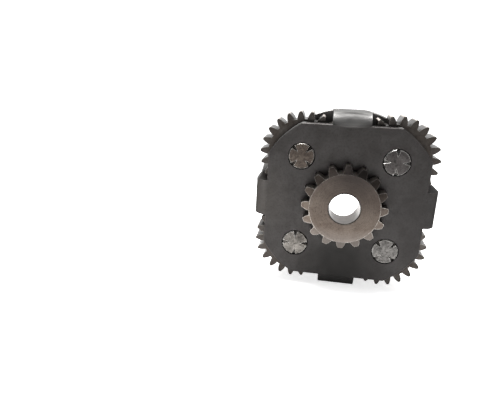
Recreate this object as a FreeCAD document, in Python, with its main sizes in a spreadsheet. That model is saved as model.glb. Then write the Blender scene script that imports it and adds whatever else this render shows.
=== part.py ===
import FreeCAD, Part
import math
import os
import Sketcher

# Planet carrier stage: a stamped cage, four planet gears on staked pins and
# a short output sun gear seated in the front plate.
# Millimetres. X right, Y rearwards along the shaft axis, Z up.
# The origin is on the axis at the front face of the front plate.

SIZES = (
    # front plate, stamped from sheet with four legs bent backwards
    ("plate_thick", "4.76"),
    ("plate_flat", "34.75"),
    ("plate_corner_radius", "40.6"),
    ("plate_edge_break", "0.35"),
    ("leg_width", "16.2"),
    ("leg_outer", "40"),
    ("leg_inner", "=leg_outer - plate_thick"),
    ("bend_outer_radius", "5.8"),
    ("bend_inner_radius", "=bend_outer_radius - plate_thick"),
    ("bend_axis_height", "=leg_outer - bend_outer_radius"),
    ("leg_root_height", "30"),
    # spacing along the axis
    ("pin_spread", "20.206"),
    ("side_gap", "1.2"),
    ("planet_width", "11.11"),
    ("planet_front", "=plate_thick + side_gap"),
    ("planet_back", "=planet_front + planet_width"),
    ("rear_front", "=planet_back + side_gap"),
    # rear plate, a disc whose rim slots take the peened leg tenons
    ("rear_thick", "4"),
    ("rear_back", "=rear_front + rear_thick"),
    ("rear_radius", "40.6"),
    ("rear_edge_break", "0.4"),
    ("rear_bore_radius", "14"),
    ("tenon_width", "11"),
    ("slot_play", "0.05"),
    ("slot_half_width", "=tenon_width / 2 + slot_play"),
    ("slot_floor", "=leg_inner - slot_play"),
    ("slot_mouth", "=rear_radius + 1"),
    # planet pins, staked over at both ends
    ("pin_radius", "5.56"),
    ("pin_hole_radius", "5.57"),
    ("pin_hole_break", "0.45"),
    ("pin_head_radius", "5.62"),
    ("pin_head_rise", "0.3"),
    ("pin_head_round", "0.3"),
    ("pin_front", "=-pin_head_rise"),
    ("pin_back", "=rear_back + pin_head_rise"),
    ("pin_face_radius", "=pin_head_radius - pin_head_round"),
    ("nick_start", "2.4"),
    ("nick_length", "5"),
    ("nick_tilt", "20"),
    ("nick_mouth", "2"),
    ("nick_half_width", "1.85"),
    # thrust washers and bushes
    ("washer_thick", "1"),
    ("washer_outer_radius", "9.5"),
    ("washer_bore_radius", "5.7"),
    ("rear_washer_front", "=rear_front - washer_thick"),
    ("bush_outer_radius", "7"),
    ("bush_bore_radius", "5.59"),
    # planet gears
    ("planet_teeth", "22"),
    ("planet_pitch_radius", "17.4625"),
    ("planet_tip_radius", "19.05"),
    ("planet_root_radius", "15.5"),
    ("planet_bore_radius", "7.01"),
    ("planet_pressure_angle", "25"),
    ("planet_edge_break", "0.12"),
    # output sun gear
    ("sun_teeth", "16"),
    ("sun_pitch_radius", "16.933"),
    ("sun_tip_radius", "18.5"),
    ("sun_root_radius", "15.3"),
    ("sun_pressure_angle", "25"),
    ("sun_front", "-8"),
    ("sun_length", "=plate_thick - sun_front"),
    ("sun_bore_radius", "6.6"),
    ("sun_bore_break", "0.3"),
    ("sun_end_radius", "15"),
    ("sun_end_drop", "2.4"),
    ("sun_end_back", "=sun_front + sun_end_drop"),
    # toothed seat of the sun gear in the front plate
    ("seat_tip_radius", "18.95"),
    ("seat_root_radius", "15.6"),
    ("seat_flank_play", "0.02"),
    ("seat_slot_start", "13.5"),
)

GAP_OVERRUN = 0.6
QUARTERS = 4
TOLERANCE = 1e-3

# Number, side and height of the four planets, the turn of their teeth from
# the X axis and the turn of the staking nicks, both counter-clockwise in
# degrees as seen from the front.
PLANETS = (
    (1, -1, 1, 14.6, 45.0),
    (2, 1, 1, 2.4, 0.0),
    (3, 1, -1, 5.1, 45.0),
    (4, -1, -1, 4.5, 0.0),
)

doc = FreeCAD.newDocument("planet_carrier_stage")
sheet = doc.addObject("Spreadsheet::Sheet", "Sizes")
nodes = []


def vector(x, y, z=0.0):
    return FreeCAD.Vector(x, y, z)


def fill_sheet():
    for row, (name, content) in enumerate(SIZES, start=1):
        sheet.set(f"A{row}", name)
        sheet.set(f"B{row}", content)
        sheet.setAlias(f"B{row}", name)
    doc.recompute()


def size(name):
    return float(sheet.get(name))


def bind(feature, prop, expression):
    feature.setExpression(prop, expression)


def origin_feature(body, role):
    return next(f for f in body.Origin.OriginFeatures if f.Role == role)


def new_body(label):
    body = doc.addObject("PartDesign::Body", label)
    body.Label = label
    nodes.append(body)
    return body


def new_sketch(body, name, role, offset=None):
    sketch = body.newObject("Sketcher::SketchObject", name)
    sketch.AttachmentSupport = [(origin_feature(body, role), "")]
    sketch.MapMode = "FlatFace"
    if offset:
        bind(sketch, "AttachmentOffset.Base.z", offset)
    return sketch


def constrain(sketch, constraint, name, expression):
    index = sketch.addConstraint(constraint)
    sketch.renameConstraint(index, name)
    bind(sketch, f"Constraints.{name}", expression)


def coordinate(name):
    return 0.0 if name is None else size(name)


def locate(sketch, curve, end, corner, tag):
    """Fix one end of a curve at a corner given by two size names."""
    on_axis = (-2, -1)
    kinds = ("DistanceX", "DistanceY")
    for kind, axis, name in zip(kinds, on_axis, corner):
        if name is None:
            rule = Sketcher.Constraint("PointOnObject", curve, end, axis)
            sketch.addConstraint(rule)
        else:
            rule = Sketcher.Constraint(kind, -1, 1, curve, end, size(name))
            constrain(sketch, rule, f"{tag}_{kind}", f"Sizes.{name}")


def bend_curve(first, last, radius):
    """Arc between two points that bulges away from the shaft axis."""
    chord = last - first
    middle = (first + last) * 0.5
    reach = math.sqrt(radius * radius - chord.Length * chord.Length / 4)
    outward = vector(-abs(chord.y), abs(chord.x)).normalize()
    return Part.Arc(first, middle + outward * (radius - reach), last)


def end_at(sketch, curve, point):
    near = (sketch.getPoint(curve, 1) - point).Length < TOLERANCE
    return 1 if near else 2


def add_profile(sketch, corners, bends=()):
    """Closed outline; bends maps a corner number to the radius after it."""
    bends = dict(bends)
    points = [vector(coordinate(a), coordinate(b)) for a, b in corners]
    curves = []
    for number, first in enumerate(points):
        last = points[(number + 1) % len(points)]
        curve = Part.LineSegment(first, last)
        if number in bends:
            curve = bend_curve(first, last, size(bends[number]))
        curves.append(sketch.addGeometry(curve))
    for number, point in enumerate(points):
        here = curves[number]
        before = curves[number - 1]
        end = end_at(sketch, here, point)
        other = end_at(sketch, before, point)
        sketch.addConstraint(Sketcher.Constraint("Coincident", before, other, here, end))
        locate(sketch, here, end, corners[number], f"corner{number}")
    for number, radius in bends.items():
        rule = Sketcher.Constraint("Radius", curves[number], size(radius))
        constrain(sketch, rule, f"bend{number}", f"Sizes.{radius}")


def add_circle(sketch, radius, centre=None):
    middle = vector(0, 0)
    if centre:
        middle = vector(size(centre), size(centre))
    circle = Part.Circle(middle, vector(0, 0, 1), size(radius))
    index = sketch.addGeometry(circle)
    if centre:
        locate(sketch, index, 3, (centre, centre), f"centre{index}")
    else:
        sketch.addConstraint(Sketcher.Constraint("Coincident", index, 3, -1, 1))
    rule = Sketcher.Constraint("Radius", index, size(radius))
    constrain(sketch, rule, f"radius{index}", f"Sizes.{radius}")


def pad(body, name, sketch, length, reverse=True, centred=False):
    feature = body.newObject("PartDesign::Pad", name)
    feature.Profile = sketch
    feature.Reversed = reverse
    feature.Midplane = centred
    bind(feature, "Length", length)
    body.Tip = feature
    doc.recompute()
    return feature


def pocket(body, name, sketch, length, reverse=False):
    feature = body.newObject("PartDesign::Pocket", name)
    feature.Profile = sketch
    feature.Reversed = reverse
    bind(feature, "Length", length)
    body.Tip = feature
    doc.recompute()
    return feature


def polar(body, name, features, count):
    feature = body.newObject("PartDesign::PolarPattern", name)
    feature.Originals = features
    feature.Axis = (origin_feature(body, "Y_Axis"), [""])
    feature.Angle = 360
    bind(feature, "Occurrences", count)
    body.Tip = feature
    doc.recompute()
    return feature


def revolve(body, name, sketch, kind="PartDesign::Revolution"):
    feature = body.newObject(kind, name)
    feature.Profile = sketch
    feature.ReferenceAxis = (sketch, ["H_Axis"])
    feature.Angle = 360
    body.Tip = feature
    doc.recompute()
    return feature


def chamfer(body, name, base, edges, width):
    feature = body.newObject("PartDesign::Chamfer", name)
    feature.Base = (base, edges)
    bind(feature, "Size", width)
    body.Tip = feature
    doc.recompute()
    return feature


def edges_where(feature, test):
    names = []
    for number, edge in enumerate(feature.Shape.Edges, start=1):
        if test(edge):
            names.append(f"Edge{number}")
    return names


def in_plane(edge, y):
    return all(abs(corner.Point.y - y) < TOLERANCE for corner in edge.Vertexes)


def ring_edge(edge, radius, y):
    curve = edge.Curve
    is_ring = isinstance(curve, Part.Circle) and in_plane(edge, y)
    return is_ring and abs(curve.Radius - radius) < TOLERANCE


def polar_point(radius, angle):
    return vector(radius * math.cos(angle), radius * math.sin(angle))


def involute(angle):
    return math.tan(angle) - angle


def base_radius(gear):
    slope = math.radians(size(f"{gear}_pressure_angle"))
    return size(f"{gear}_pitch_radius") * math.cos(slope)


def tooth_half_angle(gear, radius):
    """Half the angle that one tooth of a gear fills at a radius."""
    slope = math.radians(size(f"{gear}_pressure_angle"))
    roll = math.acos(min(1.0, base_radius(gear) / radius))
    at_pitch = math.pi / (2 * size(f"{gear}_teeth"))
    return at_pitch + involute(slope) - involute(roll)


def add_flanked_outline(sketch, inner, outer, middle, half_angle, base):
    """Closed outline between two radii with two mirrored gear flanks."""
    knee = max(inner, base)
    waist = (knee + outer) / 2
    sides = []
    for side in (-1, 1):
        foot = polar_point(inner, middle + side * half_angle(knee))
        flank = [polar_point(r, middle + side * half_angle(r)) for r in (knee, waist, outer)]
        sides.append([foot] + flank)
    low, high = sides
    cap = polar_point(outer, middle)
    floor = polar_point(inner, middle)
    curves = [
        Part.LineSegment(low[0], low[1]),
        Part.Arc(low[1], low[2], low[3]),
        Part.Arc(low[3], cap, high[3]),
        Part.Arc(high[3], high[2], high[1]),
        Part.LineSegment(high[1], high[0]),
        Part.Arc(high[0], floor, low[0]),
    ]
    sketch.addGeometry(curves)


def add_tooth_gap(sketch, gear):
    """The space between the tooth on the X axis and the next one."""
    half_pitch = math.pi / size(f"{gear}_teeth")

    def half_angle(radius):
        return half_pitch - tooth_half_angle(gear, radius)

    root = size(f"{gear}_root_radius")
    outer = size(f"{gear}_tip_radius") + GAP_OVERRUN
    add_flanked_outline(sketch, root, outer, half_pitch, half_angle, base_radius(gear))


def add_seat_slot(sketch):
    """The slot in the front plate that takes one tooth of the sun gear."""
    play = size("seat_flank_play")

    def half_angle(radius):
        return tooth_half_angle("sun", radius) + play / radius

    start = size("seat_slot_start")
    end = size("seat_tip_radius")
    add_flanked_outline(sketch, start, end, 0.0, half_angle, base_radius("sun"))


def place(body, side, height, turn=0.0):
    """Put a body on one pin axis, turned counter-clockwise from the front."""
    body.Placement.Rotation = FreeCAD.Rotation(vector(0, -1, 0), turn)
    bind(body, "Placement.Base.x", f"{side} * Sizes.pin_spread")
    bind(body, "Placement.Base.z", f"{height} * Sizes.pin_spread")


def add_blank(body):
    outline = new_sketch(body, "Outline", "XZ_Plane")
    flat = size("plate_flat")
    corner = size("plate_corner_radius")
    reach = math.sqrt(corner * corner - flat * flat)
    points = []
    for quarter in range(QUARTERS):
        turn = FreeCAD.Rotation(vector(0, 0, 1), 360 / QUARTERS * quarter)
        points.append(turn.multVec(vector(flat, -reach)))
        points.append(turn.multVec(vector(flat, reach)))
    curves = []
    for number, first in enumerate(points):
        last = points[(number + 1) % len(points)]
        if number % 2:
            top = (first + last).normalize() * corner
            curves.append(outline.addGeometry(Part.Arc(first, top, last)))
        else:
            curves.append(outline.addGeometry(Part.LineSegment(first, last)))
    constrain_blank(outline, curves)
    return pad(body, "Blank", outline, "Sizes.plate_thick")


def constrain_blank(outline, curves):
    for number, curve in enumerate(curves):
        following = curves[(number + 1) % len(curves)]
        outline.addConstraint(Sketcher.Constraint("Coincident", curve, 2, following, 1))
    for number in (1, 3, 5, 7):
        outline.addConstraint(Sketcher.Constraint("Coincident", curves[number], 3, -1, 1))
    flat = size("plate_flat")
    sides = (("Right", 0, "DistanceX", 1), ("Top", 2, "DistanceY", 1),
             ("Left", 4, "DistanceX", -1), ("Bottom", 6, "DistanceY", -1))
    for name, number, kind, sign in sides:
        direction = "Vertical" if kind == "DistanceX" else "Horizontal"
        outline.addConstraint(Sketcher.Constraint(direction, curves[number]))
        rule = Sketcher.Constraint(kind, -1, 1, curves[number], 1, sign * flat)
        constrain(outline, rule, name, f"{sign} * Sizes.plate_flat")
    rule = Sketcher.Constraint("Radius", curves[1], size("plate_corner_radius"))
    constrain(outline, rule, "Corner", "Sizes.plate_corner_radius")


def add_legs(body):
    side = new_sketch(body, "LegSide", "YZ_Plane")
    corners = (
        (None, "leg_root_height"),
        (None, "bend_axis_height"),
        ("bend_outer_radius", "leg_outer"),
        ("rear_front", "leg_outer"),
        ("rear_front", "leg_inner"),
        ("bend_outer_radius", "leg_inner"),
        ("plate_thick", "bend_axis_height"),
        ("plate_thick", "leg_root_height"),
    )
    bends = ((1, "bend_outer_radius"), (5, "bend_inner_radius"))
    add_profile(side, corners, bends)
    leg = pad(body, "Leg", side, "Sizes.leg_width", False, True)
    tip = new_sketch(body, "TenonSide", "YZ_Plane")
    add_profile(tip, (
        ("planet_back", "leg_inner"),
        ("rear_back", "leg_inner"),
        ("rear_back", "leg_outer"),
        ("planet_back", "leg_outer"),
    ))
    tenon = pad(body, "Tenon", tip, "Sizes.tenon_width", False, True)
    polar(body, "Legs", [leg, tenon], str(QUARTERS))


def add_pin_holes(body, offset, depth):
    hole = new_sketch(body, "PinHole", "XZ_Plane", offset)
    add_circle(hole, "pin_hole_radius", "pin_spread")
    cut = pocket(body, "PinHoleCut", hole, depth)
    return polar(body, "PinHoles", [cut], str(QUARTERS))


def add_seat(body):
    bore = new_sketch(body, "SeatBore", "XZ_Plane")
    add_circle(bore, "seat_root_radius")
    pocket(body, "SeatBoreCut", bore, "Sizes.plate_thick")
    slot = new_sketch(body, "SeatSlot", "XZ_Plane")
    add_seat_slot(slot)
    cut = pocket(body, "SeatSlotCut", slot, "Sizes.plate_thick")
    polar(body, "SeatSlots", [cut], "Sizes.sun_teeth")


def build_front_plate():
    body = new_body("front_plate")
    blank = add_blank(body)
    outline = edges_where(blank, is_front_edge)
    chamfer(body, "EdgeBreak", blank, outline, "Sizes.plate_edge_break")
    add_legs(body)
    holes = add_pin_holes(body, None, "Sizes.plate_thick")
    mouths = edges_where(holes, is_front_pin_hole)
    chamfer(body, "PinHoleBreak", holes, mouths, "Sizes.pin_hole_break")
    add_seat(body)


def is_front_edge(edge):
    return in_plane(edge, 0.0)


def is_front_pin_hole(edge):
    return ring_edge(edge, size("pin_hole_radius"), 0.0)


def build_rear_plate():
    body = new_body("rear_plate")
    disc = new_sketch(body, "Disc", "XZ_Plane", "-Sizes.rear_front")
    add_circle(disc, "rear_radius")
    add_circle(disc, "rear_bore_radius")
    blank = pad(body, "Blank", disc, "Sizes.rear_thick")

    def is_rim(edge):
        levels = (size("rear_front"), size("rear_back"))
        return any(ring_edge(edge, size("rear_radius"), y) for y in levels)

    chamfer(body, "EdgeBreak", blank, edges_where(blank, is_rim), "Sizes.rear_edge_break")
    slot = new_sketch(body, "RimSlot", "XZ_Plane", "-Sizes.rear_front")
    add_rim_slot(slot)
    cut = pocket(body, "RimSlotCut", slot, "Sizes.rear_thick")
    polar(body, "RimSlots", [cut], str(QUARTERS))
    add_pin_holes(body, "-Sizes.rear_front", "Sizes.rear_thick")


def add_rim_slot(sketch):
    """Open slot for one leg tenon, straddling the Z axis."""
    low = size("slot_floor")
    high = size("slot_mouth")
    half = size("slot_half_width")
    corners = (vector(-half, low), vector(half, low), vector(half, high), vector(-half, high))
    for number, first in enumerate(corners):
        last = corners[(number + 1) % len(corners)]
        sketch.addGeometry(Part.LineSegment(first, last))
    for number in range(len(corners)):
        following = (number + 1) % len(corners)
        sketch.addConstraint(Sketcher.Constraint("Coincident", number, 2, following, 1))
        direction = "Vertical" if number % 2 else "Horizontal"
        sketch.addConstraint(Sketcher.Constraint(direction, number))
    rules = (
        ("Low", "DistanceY", 0, 1, low, "Sizes.slot_floor"),
        ("High", "DistanceY", 2, 1, high, "Sizes.slot_mouth"),
        ("Right", "DistanceX", 1, 1, half, "Sizes.slot_half_width"),
        ("Left", "DistanceX", 0, 1, -half, "-Sizes.slot_half_width"),
    )
    for name, kind, line, end, distance, expression in rules:
        rule = Sketcher.Constraint(kind, -1, 1, line, end, distance)
        constrain(sketch, rule, name, expression)


def build_sun_gear():
    body = new_body("output_sun_gear")
    outline = new_sketch(body, "Outline", "XZ_Plane", "-Sizes.sun_front")
    add_circle(outline, "sun_tip_radius")
    add_circle(outline, "sun_bore_radius")
    blank = pad(body, "Blank", outline, "Sizes.sun_length")

    def is_bore_mouth(edge):
        levels = (size("sun_front"), size("plate_thick"))
        return any(ring_edge(edge, size("sun_bore_radius"), y) for y in levels)

    edges = edges_where(blank, is_bore_mouth)
    chamfer(body, "BoreBreak", blank, edges, "Sizes.sun_bore_break")
    bevel = new_sketch(body, "ToothEnd", "YZ_Plane")
    add_profile(bevel, (
        ("sun_front", "sun_end_radius"),
        ("sun_end_back", "sun_tip_radius"),
        ("sun_end_back", "seat_tip_radius"),
        ("sun_front", "seat_tip_radius"),
    ))
    revolve(body, "ToothEnds", bevel, "PartDesign::Groove")
    gap = new_sketch(body, "ToothGap", "XZ_Plane", "-Sizes.sun_front")
    add_tooth_gap(gap, "sun")
    cut = pocket(body, "ToothGapCut", gap, "Sizes.sun_length")
    polar(body, "Teeth", [cut], "Sizes.sun_teeth")


def build_planet_gear(number, side, height, turn):
    body = new_body(f"planet_gear_{number}")
    outline = new_sketch(body, "Outline", "XZ_Plane", "-Sizes.planet_front")
    add_circle(outline, "planet_tip_radius")
    add_circle(outline, "planet_bore_radius")
    blank = pad(body, "Blank", outline, "Sizes.planet_width")

    def is_rim(edge):
        levels = (size("planet_front"), size("planet_back"))
        return any(ring_edge(edge, size("planet_tip_radius"), y) for y in levels)

    chamfer(body, "EdgeBreak", blank, edges_where(blank, is_rim), "Sizes.planet_edge_break")
    gap = new_sketch(body, "ToothGap", "XZ_Plane", "-Sizes.planet_front")
    add_tooth_gap(gap, "planet")
    cut = pocket(body, "ToothGapCut", gap, "Sizes.planet_width")
    polar(body, "Teeth", [cut], "Sizes.planet_teeth")
    place(body, side, height, turn)


def build_ring(label, front, length, outer, inner, side, height):
    body = new_body(label)
    outline = new_sketch(body, "Outline", "XZ_Plane", f"-Sizes.{front}")
    add_circle(outline, outer)
    add_circle(outline, inner)
    pad(body, "Ring", outline, f"Sizes.{length}")
    place(body, side, height)


def build_pin(number, side, height, turn):
    body = new_body(f"planet_pin_{number}")
    outline = new_sketch(body, "Outline", "YZ_Plane")
    add_profile(outline, (
        ("pin_front", None),
        ("pin_front", "pin_face_radius"),
        (None, "pin_head_radius"),
        (None, "pin_radius"),
        ("rear_back", "pin_radius"),
        ("rear_back", "pin_head_radius"),
        ("pin_back", "pin_face_radius"),
        ("pin_back", None),
    ))
    revolve(body, "Shank", outline)
    cuts = [add_nick(body, "front", -1), add_nick(body, "back", 1)]
    polar(body, "Nicks", cuts, str(QUARTERS))
    place(body, side, height, turn)


def add_nick(body, end, side):
    """Chisel mark that starts at half radius and deepens towards the rim."""
    nick = new_sketch(body, f"Nick_{end}", "YZ_Plane", "Sizes.nick_start")
    bind(nick, "AttachmentOffset.Base.x", f"Sizes.pin_{end}")
    nick.AttachmentOffset.Rotation = FreeCAD.Rotation(vector(0, 1, 0), -side * size("nick_tilt"))
    mouth = size("nick_mouth") * side
    half = size("nick_half_width")
    corners = (vector(mouth, -half), vector(mouth, half), vector(0, 0))
    for index, first in enumerate(corners):
        last = corners[(index + 1) % len(corners)]
        nick.addGeometry(Part.LineSegment(first, last))
    for index in range(len(corners)):
        following = (index + 1) % len(corners)
        nick.addConstraint(Sketcher.Constraint("Coincident", index, 2, following, 1))
    nick.addConstraint(Sketcher.Constraint("Vertical", 0))
    nick.addConstraint(Sketcher.Constraint("Coincident", 2, 1, -1, 1))
    rules = (
        ("Mouth", "DistanceX", 0, 1, mouth, f"{side} * Sizes.nick_mouth"),
        ("Low", "DistanceY", 0, 1, -half, "-Sizes.nick_half_width"),
        ("High", "DistanceY", 1, 1, half, "Sizes.nick_half_width"),
    )
    for name, kind, line, corner, distance, expression in rules:
        rule = Sketcher.Constraint(kind, -1, 1, line, corner, distance)
        constrain(nick, rule, name, expression)
    return pocket(body, f"NickCut_{end}", nick, "Sizes.nick_length", True)


def build_planet(number, side, height, gear_turn, nick_turn):
    build_planet_gear(number, side, height, gear_turn)
    build_pin(number, side, height, nick_turn)
    build_ring(f"planet_bush_{number}", "planet_front", "planet_width",
               "bush_outer_radius", "bush_bore_radius", side, height)
    build_ring(f"front_washer_{number}", "plate_thick", "washer_thick",
               "washer_outer_radius", "washer_bore_radius", side, height)
    build_ring(f"rear_washer_{number}", "rear_washer_front", "washer_thick",
               "washer_outer_radius", "washer_bore_radius", side, height)


def check_document():
    for item in doc.Objects:
        if "Invalid" in item.State or "Error" in item.State:
            raise RuntimeError(f"{item.Name} did not compute")


def write_node(body):
    shape = body.Shape
    if shape.isNull() or not shape.isValid() or len(shape.Solids) != 1:
        raise RuntimeError(f"{body.Label} is not one valid solid")
    shape.exportStep(f"parts/{body.Label}.step")
    print(body.Label, round(shape.Volume, 1), shape.BoundBox)


fill_sheet()
build_front_plate()
build_rear_plate()
build_sun_gear()
for planet in PLANETS:
    build_planet(*planet)
doc.recompute()
check_document()
os.makedirs("parts", exist_ok=True)
for node in nodes:
    write_node(node)
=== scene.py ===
"""The planet carrier stage in Blender: materials, floor, light and camera round the CAD part."""

import bpy
from mathutils import Matrix, Vector


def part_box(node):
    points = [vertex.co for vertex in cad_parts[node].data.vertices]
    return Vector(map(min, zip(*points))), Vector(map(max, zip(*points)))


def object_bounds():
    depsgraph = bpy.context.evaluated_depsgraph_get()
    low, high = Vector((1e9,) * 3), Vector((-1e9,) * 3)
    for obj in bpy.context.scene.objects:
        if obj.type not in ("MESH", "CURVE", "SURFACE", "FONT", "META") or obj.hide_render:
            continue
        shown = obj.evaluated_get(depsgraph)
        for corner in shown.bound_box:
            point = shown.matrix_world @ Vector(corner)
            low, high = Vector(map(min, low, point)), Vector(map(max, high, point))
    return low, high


MM = 0.001

# The camera in the row frame: lengths in metres, lens and sensor in millimetres.
CAMERA_PLACE = Vector((-0.0133, -0.1994, 0.0540))
CAMERA_AXIS = Vector((-0.1570, 0.9473, -0.2793))
CAMERA_UP = Vector((-0.0885, 0.2681, 0.9593))
CAMERA_LENS = 34.05
CAMERA_NEAREST = 0.001
SENSOR_WIDTH = 36.0

FLOOR_SIZE = 6.0
FLOOR_COLOUR = (0.93, 0.93, 0.93, 1.0)
FLOOR_ROUGHNESS = 0.9
FLOOR_GLOW = 0.75

# Area lamps aimed at the middle of the part: place and size in metres, power in watts.
LAMPS = (
    dict(name="top", place=(-0.06, 0.06, 0.42), size=0.26, power=5.0),
    dict(name="left", place=(-0.40, -0.44, 0.0), size=0.3, power=1.6),
)

# Strengths of the white world. The room grows brighter with the Y of the direction,
# from its front, where the camera is, to its back.
WORLD_COLOUR = (1.0, 1.0, 1.0, 1.0)
BACKDROP = 1.3
ROOM_FRONT = 0.13
ROOM_BACK = 1.3
ROOM_FRONT_Y = -0.75
ROOM_BACK_Y = 0.6

# What all the metals share.
# Colour of dirt specks, also laid in corners as dirt and painted shade.
DIRT_AND_SHADE = (0.008, 0.007, 0.006)
DIRT_SHARE = 0.35
# How much of the edge wear a patch of painted light or shade hides.
PATCH_HIDES_WEAR = 0.85
RIM_BAND_MM = 0.3
CORNER_REACH_MM = 2.5
EDGE_RADIUS_MM = 0.35
BEVEL_SAMPLES = 6
CORNER_SAMPLES = 8
SCRATCH_STRETCH = (0.15, 1.0, 2.2)
SCRATCH_DEPTH = 1.5
RING_PITCH_MM = 0.35

# Each look below is a set of arguments for metal().
PLATE_LOOK = dict(
    base=(0.042, 0.0395, 0.0385),
    tint=(0.031, 0.0285, 0.0275),
    edge=(0.30, 0.29, 0.285),
    rough=(0.36, 0.50),
    metallic=0.95,
    grain=0.008,
    wear=0.3,
    glance=(0.4, 0.4, 0.4),
    turned=dict(limit=39.95, bright=(0.13, 0.128, 0.125), roughness=0.6),
    light_patches=(
        # Painted shadow below the output gear, painted light on the left side and painted shade
        # on the right side.
        dict(x=1.0, z=-28.0, near=6.0, far=25.0, share=0.9, painted_colour=(0.015, 0.0145, 0.014)),
        dict(x=-44.0, z=0.0, near=4.0, far=22.0, share=0.35, painted_colour=(0.066, 0.060, 0.054)),
        dict(x=40.0, z=-6.0, near=4.0, far=34.0, share=0.5, painted_colour=(0.024, 0.023, 0.023)),
        # A painted highlight across the bend of the top leg, and painted shade on the bend above
        # it.
        dict(x=0.0, z=60.0, near=24.0, far=26.5, share=0.9, painted_colour=(0.24, 0.235, 0.23)),
        dict(x=0.0, z=60.0, near=22.0, far=24.8, share=1.0, painted_colour=(0.045, 0.044, 0.043)),
    ),
)
REAR_LOOK = dict(
    base=(0.062, 0.059, 0.057),
    tint=(0.042, 0.039, 0.037),
    edge=(0.50, 0.49, 0.47),
    turned=dict(limit=39.9, bright=(0.30, 0.29, 0.28), roughness=0.6),
    # Painted light, brighter outwards, from a radius of 33 mm to one of 41 mm.
    light_patches=(dict(x=0.0, z=0.0, near=41.0, far=33.0, share=1.0, painted_colour=(0.20, 0.195, 0.19)),),
    corner_dirt_and_shade=0.1,
)
SUN_LOOK = dict(
    base=(0.118, 0.096, 0.080),
    tint=(0.080, 0.062, 0.051),
    edge=(0.60, 0.57, 0.53),
    rough=(0.30, 0.46),
    metallic=1.0,
    grain=0.006,
    wear=1.0,
    edge_span=(0.002, 0.04),
    rings=0.004,
    pits=dict(depth=0.016, start=0.60, end=0.68),
    corner_dirt_and_shade=0.35,
    turned=dict(limit=6.4, bright=(0.17, 0.15, 0.135), roughness=0.35),
    light_patches=(
        # Painted shade on the upper teeth, painted light on the lower teeth and a painted shadow
        # ring round the bore.
        dict(x=4.0, z=20.0, near=4.0, far=32.0, share=1.0, painted_colour=(0.026, 0.022, 0.021)),
        dict(x=0.0, z=30.0, near=46.0, far=39.5, share=0.6, painted_colour=(0.200, 0.180, 0.165)),
        dict(x=0.0, z=0.0, near=6.95, far=7.2, share=0.97, painted_colour=(0.009, 0.008, 0.007)),
    ),
)
PLANET_LOOK = dict(
    base=(0.061, 0.056, 0.052),
    tint=(0.039, 0.033, 0.029),
    edge=(0.42, 0.40, 0.37),
    rough=(0.26, 0.42),
    metallic=1.0,
    grain=0.006,
    wear=0.8,
    rings=0.004,
    turned=dict(limit=18.8, bright=(0.62, 0.57, 0.53), roughness=0.45),
    corner_dirt_and_shade=0.5,
)
PIN_LOOK = dict(
    edge=(0.75, 0.73, 0.70),
    rough=(0.28, 0.45),
    metallic=1.0,
    grain=0.006,
    wear=0.9,
    edge_span=(0.01, 0.12),
    pits=dict(depth=0.03, start=0.47, end=0.62),
    corner_dirt_and_shade=0.35,
)
WASHER_LOOK = dict(base=(0.10, 0.095, 0.09), tint=(0.07, 0.06, 0.05), edge=(0.4, 0.4, 0.4))
BUSH_LOOK = dict(
    base=(0.42, 0.25, 0.10),
    tint=(0.30, 0.17, 0.07),
    edge=(0.75, 0.52, 0.28),
    dirt_and_shade=(0.06, 0.04, 0.02),
)

# The two colours of each pin's skin, and the colour of the walls of its nicks: bare staked
# metal, made bright as a painted highlight.
PIN_COLOURS = {
    1: ((0.090, 0.074, 0.062), (0.036, 0.028, 0.024), (0.42, 0.40, 0.38)),
    2: ((0.078, 0.072, 0.070), (0.034, 0.031, 0.030), (0.95, 0.94, 0.92)),
    3: ((0.150, 0.143, 0.136), (0.026, 0.025, 0.024), (0.50, 0.48, 0.46)),
    4: ((0.190, 0.176, 0.160), (0.034, 0.031, 0.028), (0.60, 0.58, 0.56)),
}
# Every pin lies outside this radius, so all its walls count as turned.
PIN_LIMIT_MM = 0.3
NICK_ROUGHNESS = 0.3


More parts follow.
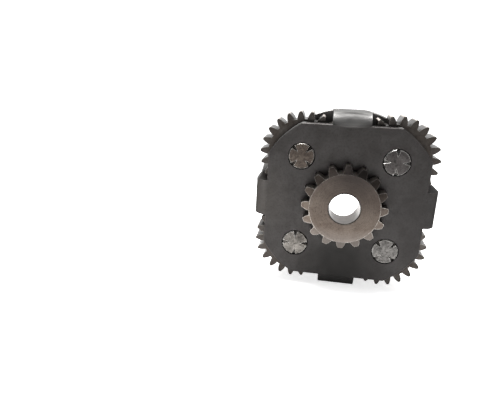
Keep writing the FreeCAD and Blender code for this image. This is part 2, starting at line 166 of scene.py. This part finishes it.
class Tree:
    """Short calls for the nodes of one material."""

    def __init__(self, material):
        material.use_nodes = True
        self.nodes = material.node_tree.nodes
        self.links = material.node_tree.links
        self.shader = self.nodes["Principled BSDF"]
        self.place = self.add("ShaderNodeTexCoord").outputs["Object"]

    def add(self, kind, **settings):
        node = self.nodes.new(kind)
        for name, value in settings.items():
            setattr(node, name, value)
        return node

    def join(self, source, target):
        self.links.new(source, target)

    def stretched(self, scale):
        node = self.add("ShaderNodeMapping")
        node.inputs["Scale"].default_value = scale
        self.join(self.place, node.inputs["Vector"])
        return node.outputs["Vector"]

    def noise(self, size_mm, detail, roughness, distortion=0.0, vector=None):
        node = self.add("ShaderNodeTexNoise")
        node.inputs["Scale"].default_value = 1.0 / (size_mm * MM)
        node.inputs["Detail"].default_value = detail
        node.inputs["Roughness"].default_value = roughness
        node.inputs["Distortion"].default_value = distortion
        self.join(vector or self.place, node.inputs["Vector"])
        return node.outputs["Fac"]

    def remap(self, value, low, high, out_low=0.0, out_high=1.0):
        node = self.add("ShaderNodeMapRange")
        node.inputs["From Min"].default_value = low
        node.inputs["From Max"].default_value = high
        node.inputs["To Min"].default_value = out_low
        node.inputs["To Max"].default_value = out_high
        self.join(value, node.inputs["Value"])
        return node.outputs["Result"]

    def maths(self, operation, first, second):
        """Each of the two values is a number or a socket."""
        node = self.add("ShaderNodeMath", operation=operation)
        for socket, value in zip(node.inputs, (first, second)):
            if isinstance(value, float):
                socket.default_value = value
            else:
                self.join(value, socket)
        return node.outputs["Value"]

    def product(self, first, second):
        return self.maths("MULTIPLY", first, second)

    def mix(self, amount, first, second):
        """Mixes two colours, each of them a tuple or a socket."""
        node = self.add("ShaderNodeMix", data_type="RGBA")
        for name, value in (("A", first), ("B", second)):
            socket = next(s for s in node.inputs if s.name == name and s.type == "RGBA")
            if isinstance(value, tuple):
                socket.default_value = (*value, 1.0)
            else:
                self.join(value, socket)
        self.join(amount, node.inputs[0])
        return next(s for s in node.outputs if s.type == "RGBA")

    def blend(self, amount, first, second):
        """Mixes the number in a socket with a plain number."""
        node = self.add("ShaderNodeMix", data_type="FLOAT")
        self.join(amount, node.inputs[0])
        self.join(first, node.inputs["A"])
        node.inputs["B"].default_value = second
        return node.outputs["Result"]

    def radius(self, centre):
        """Distance from an axis along Y through centre (x, z)."""
        shift = self.add("ShaderNodeMapping")
        shift.inputs["Location"].default_value = (-centre[0], 0.0, -centre[1])
        shift.inputs["Scale"].default_value = (1.0, 0.0, 1.0)
        self.join(self.place, shift.inputs["Vector"])
        radius = self.add("ShaderNodeVectorMath", operation="LENGTH")
        self.join(shift.outputs["Vector"], radius.inputs[0])
        return radius.outputs["Value"]

    def turning_marks(self, centre):
        """Fine rings round an axis along Y through centre (x, z)."""
        rings = self.add("ShaderNodeTexNoise", noise_dimensions="1D")
        rings.inputs["Scale"].default_value = 1.0 / (RING_PITCH_MM * MM)
        rings.inputs["Detail"].default_value = 3.0
        self.join(self.radius(centre), rings.inputs["W"])
        return rings.outputs["Fac"]

    def sideways(self):
        """1 on faces along the Y axis, 0 on faces square to it."""
        normal = self.add("ShaderNodeNewGeometry").outputs["Normal"]
        split = self.add("ShaderNodeSeparateXYZ")
        self.join(normal, split.inputs["Vector"])
        return self.remap(self.maths("ABSOLUTE", split.outputs["Y"], 0.0), low=0.8, high=0.3)

    def edge_mask(self, low, high):
        """1 on convex and concave edges, 0 on flat faces."""
        bevel = self.add("ShaderNodeBevel", samples=BEVEL_SAMPLES)
        bevel.inputs["Radius"].default_value = EDGE_RADIUS_MM * MM
        flat = self.add("ShaderNodeNewGeometry")
        dot = self.add("ShaderNodeVectorMath", operation="DOT_PRODUCT")
        self.join(bevel.outputs["Normal"], dot.inputs[0])
        self.join(flat.outputs["Normal"], dot.inputs[1])
        return self.remap(self.maths("SUBTRACT", 1.0, dot.outputs["Value"]), low, high)

    def corner_mask(self):
        """1 deep in corners, 0 in the open."""
        node = self.add("ShaderNodeAmbientOcclusion", samples=CORNER_SAMPLES)
        node.inputs["Distance"].default_value = CORNER_REACH_MM * MM
        return self.remap(node.outputs["AO"], low=0.9, high=0.3)

    def bump(self, height, depth_mm, strength, below=None):
        node = self.add("ShaderNodeBump")
        node.inputs["Strength"].default_value = strength
        node.inputs["Distance"].default_value = depth_mm * MM
        self.join(height, node.inputs["Height"])
        if below:
            self.join(below, node.inputs["Normal"])
        return node.outputs["Normal"]


def paint_light_patch(tree, colour, bare, x, z, near, far, share, painted_colour):
    """Lays one patch of painted light or shade over the colour, and takes away the wear under
    it.

    The patch is centred on (x, z), all of it inside the near distance and none of it outside
    the far one, in mm. Where near is the larger, it surrounds that point and hides no wear.
    """
    distance = tree.radius((x * MM, z * MM))
    cover = tree.remap(distance, near * MM, far * MM, out_low=share, out_high=0.0)
    colour = tree.mix(cover, colour, painted_colour)
    if near < far:
        hidden = tree.product(cover, PATCH_HIDES_WEAR)
        bare = tree.product(tree.maths("SUBTRACT", 1.0, hidden), bare)
    return colour, bare


def turned_skin(tree, centre, limit):
    """1 outside the limit, in mm, on faces that look away from the axis."""
    outside = tree.remap(tree.radius(centre), (limit - RIM_BAND_MM) * MM, limit * MM)
    return tree.product(outside, tree.sideways())


def surface_bumps(tree, grain):
    """A fine grain, its depth in mm, with deeper and fainter scratches over it."""
    fine = tree.noise(size_mm=0.25, detail=3.0, roughness=0.6)
    normal = tree.bump(fine, grain, strength=0.6)
    along = tree.stretched(SCRATCH_STRETCH)
    scratch = tree.noise(size_mm=1.2, detail=3.0, roughness=0.7, vector=along)
    return tree.bump(scratch, grain * SCRATCH_DEPTH, strength=0.4, below=normal)


def metal(name, base, tint, edge, dirt_and_shade=DIRT_AND_SHADE, rough=(0.35, 0.6), metallic=0.9, grain=0.01,
          wear=0.6, edge_span=(0.02, 0.25), centre=(0.0, 0.0), rings=0.0, pits=None,
          turned=None, light_patches=(), corner_dirt_and_shade=0.75, glance=(1.0, 1.0, 1.0)):
    """Worn metal: blotchy colour, fine grain, bright edges, and corners darkened with dirt and
    painted shade.

    base and tint are the two colours of the blotches, edge the colour of worn edges,
    dirt_and_shade that of specks and of the dirt and painted shade in corners, and
    corner_dirt_and_shade how much of it lies in the corners. rough is the lowest and
    highest roughness, and glance the tint of what is reflected at a glancing angle. grain, rings
    and the depth of the pits are in mm. Turning marks run round the axis through centre, (x, z)
    in metres. Pits darken between two levels of their noise. turned is the brighter skin of the
    sides outside a radius in mm, and light_patches, the patches of painted light and shade, are
    described at paint_light_patch().
    """
    material = bpy.data.materials.new(name)
    tree = Tree(material)
    tree.shader.inputs["Metallic"].default_value = metallic
    tree.shader.inputs["Specular Tint"].default_value = (*glance, 1.0)

    blotch = tree.noise(size_mm=9.0, detail=5.0, roughness=0.62, distortion=0.6)
    speck = tree.remap(tree.noise(size_mm=0.9, detail=3.0, roughness=0.7), low=0.48, high=0.75)
    colour = tree.mix(tree.remap(blotch, low=0.35, high=0.68), base, tint)
    colour = tree.mix(tree.product(speck, DIRT_SHARE), colour, dirt_and_shade)
    bare = 1.0
    # Patches of painted light and shade laid on the colour.
    for one in light_patches:
        colour, bare = paint_light_patch(tree, colour, bare, **one)

    gloss_noise = tree.noise(size_mm=4.0, detail=4.0, roughness=0.6)
    gloss = tree.remap(gloss_noise, low=0.3, high=0.7, out_low=rough[0], out_high=rough[1])
    if turned:
        skin = turned_skin(tree, centre, turned["limit"])
        patches = tree.noise(size_mm=3.0, detail=5.0, roughness=0.65)
        patches = tree.remap(patches, low=0.2, high=0.6, out_low=0.55, out_high=1.0)
        colour = tree.mix(tree.product(skin, patches), colour, turned["bright"])
        gloss = tree.blend(skin, gloss, turned["roughness"])
    tree.join(gloss, tree.shader.inputs["Roughness"])

    # Dirt and painted shade darken the corners.
    colour = tree.mix(tree.product(tree.corner_mask(), corner_dirt_and_shade), colour, dirt_and_shade)
    ragged = tree.remap(tree.noise(size_mm=1.6, detail=4.0, roughness=0.7), low=0.3, high=0.62)
    worn = tree.product(tree.edge_mask(*edge_span), ragged)
    worn = tree.product(tree.product(worn, wear), bare)
    colour = tree.mix(worn, colour, edge)

    normal = surface_bumps(tree, grain)
    if rings:
        marks = tree.turning_marks(centre)
        normal = tree.bump(marks, rings, strength=0.8, below=normal)
        colour = tree.mix(tree.remap(marks, low=0.3, high=0.7, out_high=0.22), colour, dirt_and_shade)
    if pits:
        skin_noise = tree.noise(size_mm=0.7, detail=5.0, roughness=0.8, distortion=0.4)
        normal = tree.bump(skin_noise, pits["depth"], strength=1.0, below=normal)
        pitted = tree.remap(skin_noise, pits["start"], pits["end"], out_high=0.75)
        colour = tree.mix(pitted, colour, dirt_and_shade)
    tree.join(colour, tree.shader.inputs["Base Color"])
    tree.join(normal, tree.shader.inputs["Normal"])
    return material


def paint(frame, material, *nodes):
    for node in nodes:
        mesh = frame["nodes"][node].data
        mesh.materials.clear()
        mesh.materials.append(material)


def axis_of(node):
    low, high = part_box(node)
    middle = (low + high) / 2
    return middle.x, middle.z


def add_materials(frame):
    sun_axis = axis_of("output_sun_gear")
    paint(frame, metal("plate_steel", **PLATE_LOOK), "front_plate")
    paint(frame, metal("rear_steel", **REAR_LOOK), "rear_plate")
    paint(frame, metal("sun_steel", centre=sun_axis, **SUN_LOOK), "output_sun_gear")
    bush = metal("bush_bronze", **BUSH_LOOK)
    washer = metal("washer_steel", **WASHER_LOOK)
    for number, (light, dark, bare_nick_and_glint) in PIN_COLOURS.items():
        gear = f"planet_gear_{number}"
        planet = metal(f"planet_steel_{number}", centre=axis_of(gear), **PLANET_LOOK)
        # The nick walls are bare staked metal, made bright as a painted highlight.
        nicks = dict(limit=PIN_LIMIT_MM, bright=bare_nick_and_glint, roughness=NICK_ROUGHNESS)
        pin = metal(f"pin_steel_{number}", base=light, tint=dark, turned=nicks, **PIN_LOOK)
        paint(frame, planet, gear)
        paint(frame, pin, f"planet_pin_{number}")
        paint(frame, bush, f"planet_bush_{number}")
        paint(frame, washer, f"front_washer_{number}", f"rear_washer_{number}")


def add_floor(height):
    bpy.ops.mesh.primitive_plane_add(size=FLOOR_SIZE, location=(0.0, 0.0, height))
    floor = bpy.context.object
    floor.name = "floor"
    material = bpy.data.materials.new("floor")
    material.use_nodes = True
    shader = material.node_tree.nodes["Principled BSDF"]
    shader.inputs["Base Color"].default_value = FLOOR_COLOUR
    shader.inputs["Roughness"].default_value = FLOOR_ROUGHNESS
    shader.inputs["Emission Color"].default_value = FLOOR_COLOUR
    shader.inputs["Emission Strength"].default_value = FLOOR_GLOW
    floor.data.materials.append(material)


def add_lamp(name, place, size, power, target):
    data = bpy.data.lights.new(name, "AREA")
    data.size = size
    data.energy = power
    lamp = bpy.data.objects.new(name, data)
    lamp.location = place
    lamp.rotation_euler = (target - Vector(place)).to_track_quat("-Z", "Y").to_euler()
    bpy.context.scene.collection.objects.link(lamp)


def add_world():
    """A white backdrop, and for the light a room that is brighter behind than in front."""
    world = bpy.data.worlds.new("studio")
    world.use_nodes = True
    nodes = world.node_tree.nodes
    links = world.node_tree.links
    room = nodes["Background"]
    backdrop = nodes.new("ShaderNodeBackground")
    direction = nodes.new("ShaderNodeTexCoord")
    split = nodes.new("ShaderNodeSeparateXYZ")
    ramp = nodes.new("ShaderNodeMapRange")
    ramp.interpolation_type = "SMOOTHSTEP"
    ramp.inputs["From Min"].default_value = ROOM_FRONT_Y
    ramp.inputs["From Max"].default_value = ROOM_BACK_Y
    ramp.inputs["To Min"].default_value = ROOM_FRONT
    ramp.inputs["To Max"].default_value = ROOM_BACK
    links.new(direction.outputs["Generated"], split.inputs["Vector"])
    links.new(split.outputs["Y"], ramp.inputs["Value"])
    links.new(ramp.outputs["Result"], room.inputs["Strength"])
    room.inputs["Color"].default_value = WORLD_COLOUR
    backdrop.inputs["Color"].default_value = WORLD_COLOUR
    backdrop.inputs["Strength"].default_value = BACKDROP
    path = nodes.new("ShaderNodeLightPath")
    choice = nodes.new("ShaderNodeMixShader")
    links.new(path.outputs["Is Camera Ray"], choice.inputs[0])
    links.new(room.outputs["Background"], choice.inputs[1])
    links.new(backdrop.outputs["Background"], choice.inputs[2])
    links.new(choice.outputs["Shader"], nodes["World Output"].inputs["Surface"])
    bpy.context.scene.world = world


def add_camera():
    data = bpy.data.cameras.new("camera")
    data.sensor_width = SENSOR_WIDTH
    data.lens = CAMERA_LENS
    data.clip_start = CAMERA_NEAREST
    camera = bpy.data.objects.new("camera", data)
    back = -CAMERA_AXIS.normalized()
    right = CAMERA_UP.cross(back).normalized()
    up = back.cross(right)
    turn = Matrix((right, up, back)).transposed().to_4x4()
    camera.matrix_world = Matrix.Translation(CAMERA_PLACE) @ turn
    bpy.context.scene.collection.objects.link(camera)
    bpy.context.scene.camera = camera


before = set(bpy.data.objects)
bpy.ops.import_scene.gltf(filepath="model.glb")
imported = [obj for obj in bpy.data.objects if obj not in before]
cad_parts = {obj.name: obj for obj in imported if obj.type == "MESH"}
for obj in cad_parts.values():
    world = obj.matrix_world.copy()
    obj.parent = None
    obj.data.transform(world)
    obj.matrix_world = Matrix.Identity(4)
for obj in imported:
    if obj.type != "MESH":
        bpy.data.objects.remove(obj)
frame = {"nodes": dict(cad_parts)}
cad_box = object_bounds()
low, high = cad_box
middle = (Vector(low) + Vector(high)) / 2
add_materials(frame)
add_floor(low[2])
add_world()
for lamp in LAMPS:
    add_lamp(target=middle, **lamp)
add_camera()
bpy.context.scene.view_settings.view_transform = "Standard"
